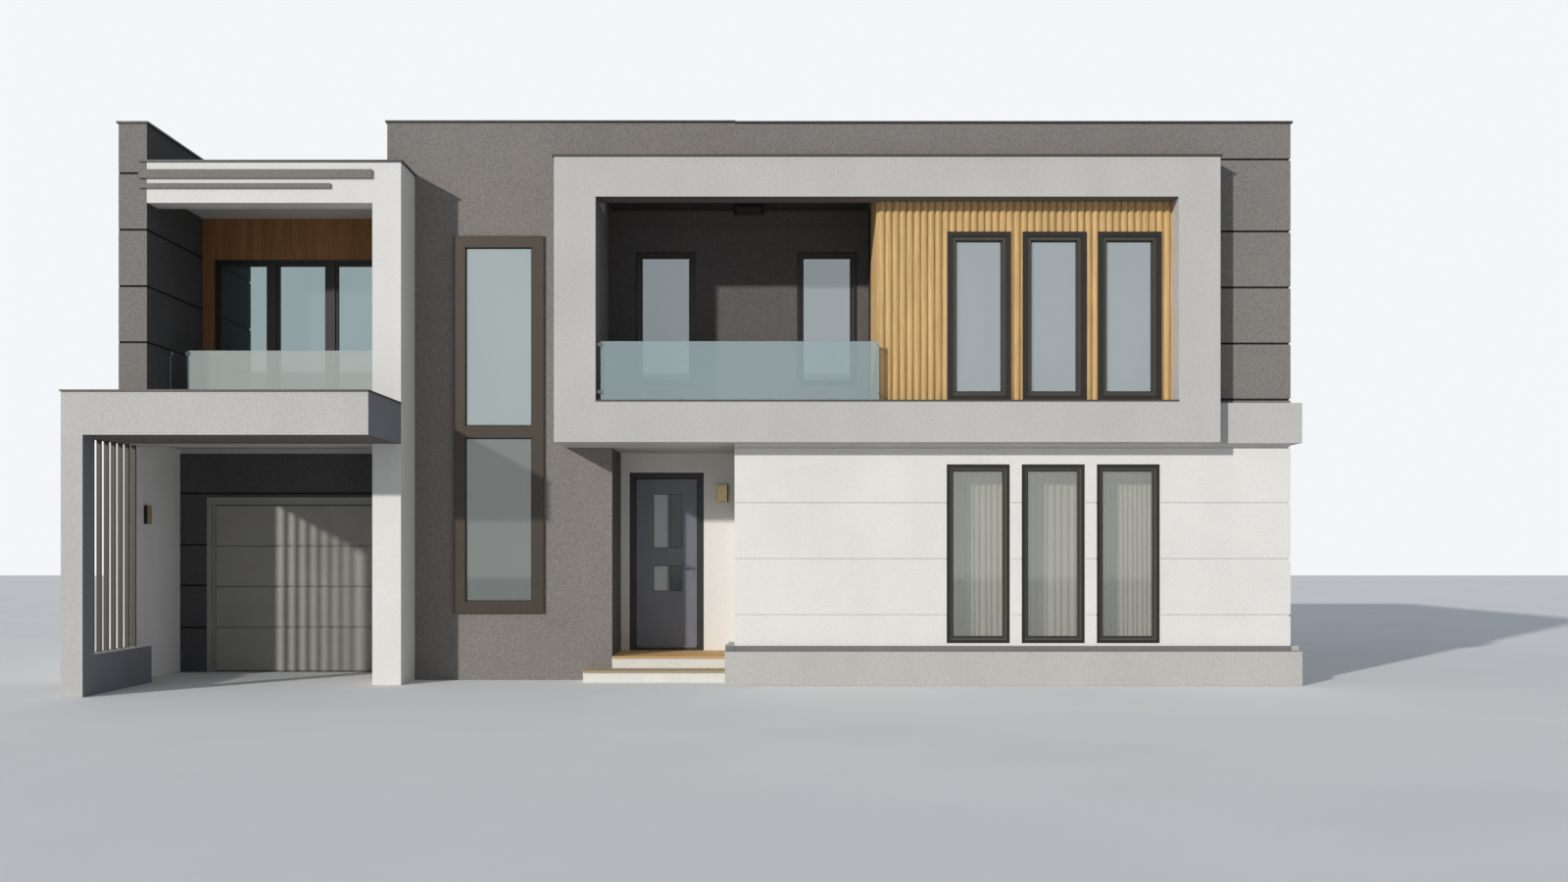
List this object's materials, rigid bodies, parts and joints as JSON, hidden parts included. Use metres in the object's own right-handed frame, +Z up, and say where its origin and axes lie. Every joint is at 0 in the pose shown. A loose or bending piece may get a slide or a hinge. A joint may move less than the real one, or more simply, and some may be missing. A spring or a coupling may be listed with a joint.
{
  "type": "two-storey modern house",
  "caption": "Flat-roofed two-storey house with a framed loggia, ribbed timber cladding, a tall stair window, a balcony over a carport and a hinged front door.",
  "frame": {"origin": "middle of the plan outline, at ground level under the ground floor slab", "axes": "+Z up, +Y from the street front to the rear, +X to the right seen from the street"},
  "size_m": [13.84, 10.48, 6.687],
  "materials": {
    "white_plaster": "matte",
    "dark_plaster": "matte",
    "grey_plaster": "matte",
    "plinth_plaster": "matte",
    "concrete": "matte",
    "roof_membrane": "matte",
    "step_concrete": "matte",
    "tread_stone": "satin",
    "ribbed_timber": "satin",
    "dark_timber": "satin",
    "coping_metal": "satin",
    "window_frame": "satin",
    "tall_trim": "satin",
    "window_glass": "gloss",
    "guard_glass": "gloss",
    "garage_frame_paint": "satin",
    "garage_door_paint": "satin",
    "slat_paint": "satin",
    "door_frame_paint": "satin",
    "door_paint": "satin",
    "handle_metal": "satin",
    "lamp_brass": "satin",
    "curtain_fabric": "matte"
  },
  "bodies": {
    "house": {"plinth": "plinth_plaster", "ground_slabs": "concrete", "ground_front_wall": "white_plaster", "ground_flank_wall": "white_plaster", "rear_white_wall": "white_plaster", "porch_walls": "white_plaster", "door_lintel": "white_plaster", "tower_front_wall": "dark_plaster", "tower_flank_wall": "dark_plaster", "loggia_head_walls": "dark_plaster", "pilaster": "white_plaster", "balcony_beam": "white_plaster", "beam_strips": "grey_plaster", "carport_side_wall": "white_plaster", "garage_side_wall": "white_plaster", "party_wall": "dark_plaster", "garage_front_wall": "dark_plaster", "garage_door_frame": "garage_frame_paint", "garage_door": "garage_door_paint", "portal_canopy": "grey_plaster", "portal_pillar": "grey_plaster", "screen_slats": "slat_paint", "floor_slabs": "concrete", "roof_slabs": "roof_membrane", "balcony_timber_wall": "dark_timber", "upper_front_wall": "dark_plaster", "upper_flank_wall": "dark_plaster", "upper_rear_wall": "dark_plaster", "loggia_back_wall": "dark_plaster", "recess_flank_walls": "dark_plaster", "frame_top": "grey_plaster", "frame_base": "grey_plaster", "frame_jambs": "grey_plaster", "string_band": "grey_plaster", "timber_cladding": "ribbed_timber", "glass_guards": "guard_glass", "front_window_frames": "window_frame", "front_window_glass": "window_glass", "tall_window_frame": "tall_trim", "tall_window_glass": "window_glass", "rear_window_frames": "window_frame", "rear_window_glass": "window_glass", "roof_copings": "coping_metal", "lower_copings": "coping_metal", "entrance_steps": "step_concrete", "step_treads": "tread_stone", "door_frame": "door_frame_paint", "wall_lights": "lamp_brass", "curtains": "curtain_fabric"},
    "door_leaf": {"front_door": "door_paint", "door_glass": "window_glass", "door_handle": "handle_metal"}
  },
  "joints": [
    {"name": "front_door_hinge", "type": "hinge", "parent": "house", "child": "door_leaf", "pos_m": [-0.866, -2.105, 1.37], "axis": [0, 0, 1], "range_deg": [0, 90]}
  ]
}
